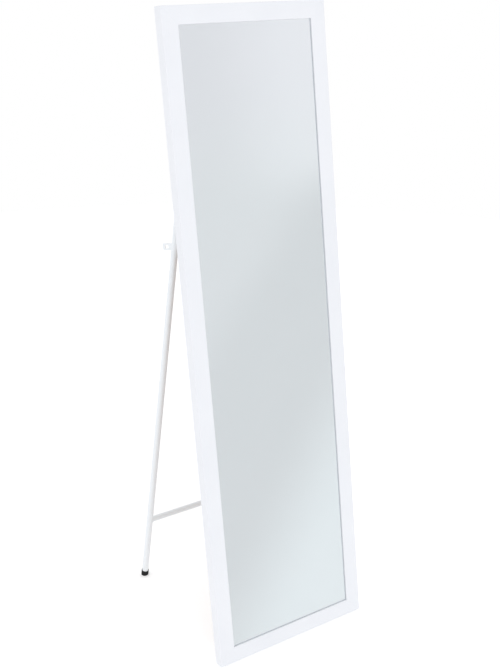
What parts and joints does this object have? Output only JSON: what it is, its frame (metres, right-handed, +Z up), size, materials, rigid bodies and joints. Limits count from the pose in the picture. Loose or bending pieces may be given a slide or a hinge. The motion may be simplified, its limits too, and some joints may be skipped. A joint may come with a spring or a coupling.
{
  "type": "floor mirror",
  "caption": "Full-length framed floor mirror that leans back on a hinged tube stand held open by hooked stays.",
  "frame": {"origin": "middle of the footprint, at the floor, with the stand open", "axes": "+X to the viewer's right as they face the mirror, the glass faces -Y and the stand is behind it at +Y, +Z up"},
  "size_m": [0.42, 0.45, 1.4838],
  "materials": {
    "frame_white": "satin white wrapped moulding",
    "mirror_glass": "silvered float glass",
    "hardboard": "raw pressed board",
    "foam": "closed-cell foam",
    "powder_coat": "fine-textured light powder coat",
    "zinc_steel": "zinc plated",
    "nylon": "moulded nylon",
    "black_rubber": "matt moulded rubber"
  },
  "bodies": {
    "mirror": {"back_panel": "hardboard", "bottom_rail": "frame_white", "foam_strips": "foam", "hinge_bracket_screws": "zinc_steel", "hinge_washers": "nylon", "left_hinge_bolt": "zinc_steel", "left_hinge_bracket": "powder_coat", "left_hinge_nut": "zinc_steel", "left_stay_bracket": "powder_coat", "left_stay_rivet": "zinc_steel", "left_stile": "frame_white", "mirror_glass": "mirror_glass", "mitre_nails": "zinc_steel", "panel_points": "zinc_steel", "right_hinge_bolt": "zinc_steel", "right_hinge_bracket": "powder_coat", "right_hinge_nut": "zinc_steel", "right_stay_bracket": "powder_coat", "right_stay_rivet": "zinc_steel", "right_stile": "frame_white", "stay_bracket_screws": "zinc_steel", "top_rail": "frame_white"},
    "stand": {"crossbar": "powder_coat", "left_foot_cap": "black_rubber", "left_leg": "powder_coat", "left_leg_plug": "nylon", "left_stay_stud": "zinc_steel", "right_foot_cap": "black_rubber", "right_leg": "powder_coat", "right_leg_plug": "nylon", "right_stay_stud": "zinc_steel"},
    "left_stay": {"left_stay": "powder_coat"},
    "right_stay": {"right_stay": "powder_coat"}
  },
  "joints": [
    {"name": "stand_fold", "type": "hinge", "parent": "mirror", "child": "stand", "pos_m": [0, 0.00236, 1.13799], "axis": [-1, 0, 0], "range_deg": [0, 20]},
    {"name": "left_stay_swing", "type": "hinge", "parent": "mirror", "child": "left_stay", "pos_m": [-0.162, -0.02396, 0.97902], "axis": [1, 0, 0], "range_deg": [0, 95]},
    {"name": "right_stay_swing", "type": "hinge", "parent": "mirror", "child": "right_stay", "pos_m": [0.162, -0.02396, 0.97902], "axis": [1, 0, 0], "range_deg": [0, 95]}
  ]
}
